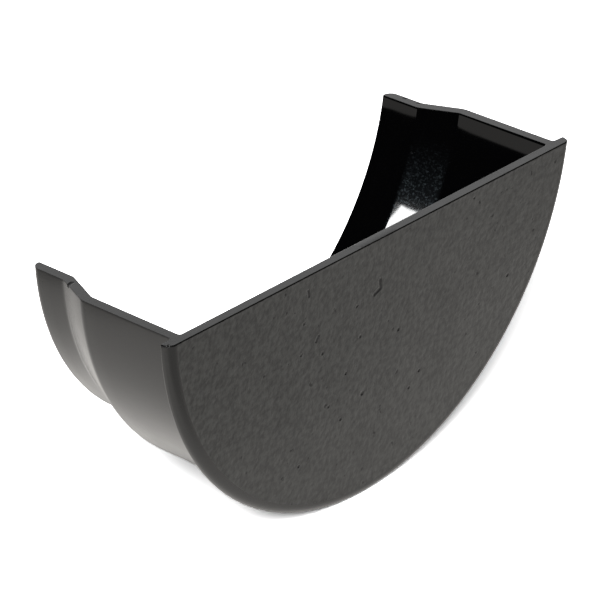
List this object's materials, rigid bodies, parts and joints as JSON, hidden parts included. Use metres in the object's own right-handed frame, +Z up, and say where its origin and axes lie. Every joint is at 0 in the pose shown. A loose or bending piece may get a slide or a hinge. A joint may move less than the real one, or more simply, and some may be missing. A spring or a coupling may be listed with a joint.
{
  "type": "gutter end cap",
  "caption": "Half-round rainwater gutter end cap: segment-shaped plate with a stepped half-round sleeve that ends in a spigot for the gutter's end.",
  "frame": {"origin": "middle of the rim, in the plane where the slope ends and the spigot for the gutter starts", "axes": "+Y along the gutter, away from the plate; +Z up, with the rim at Z = 0; +X across the gutter"},
  "size_m": [0.1194, 0.0397, 0.0542],
  "materials": {
    "moulded_plastic": "one black plastic: satin outside with a fine cast-iron texture on the plate's outer face, glossy inside"
  },
  "bodies": {
    "root": {"end_cap": "moulded_plastic"}
  },
  "joints": []
}
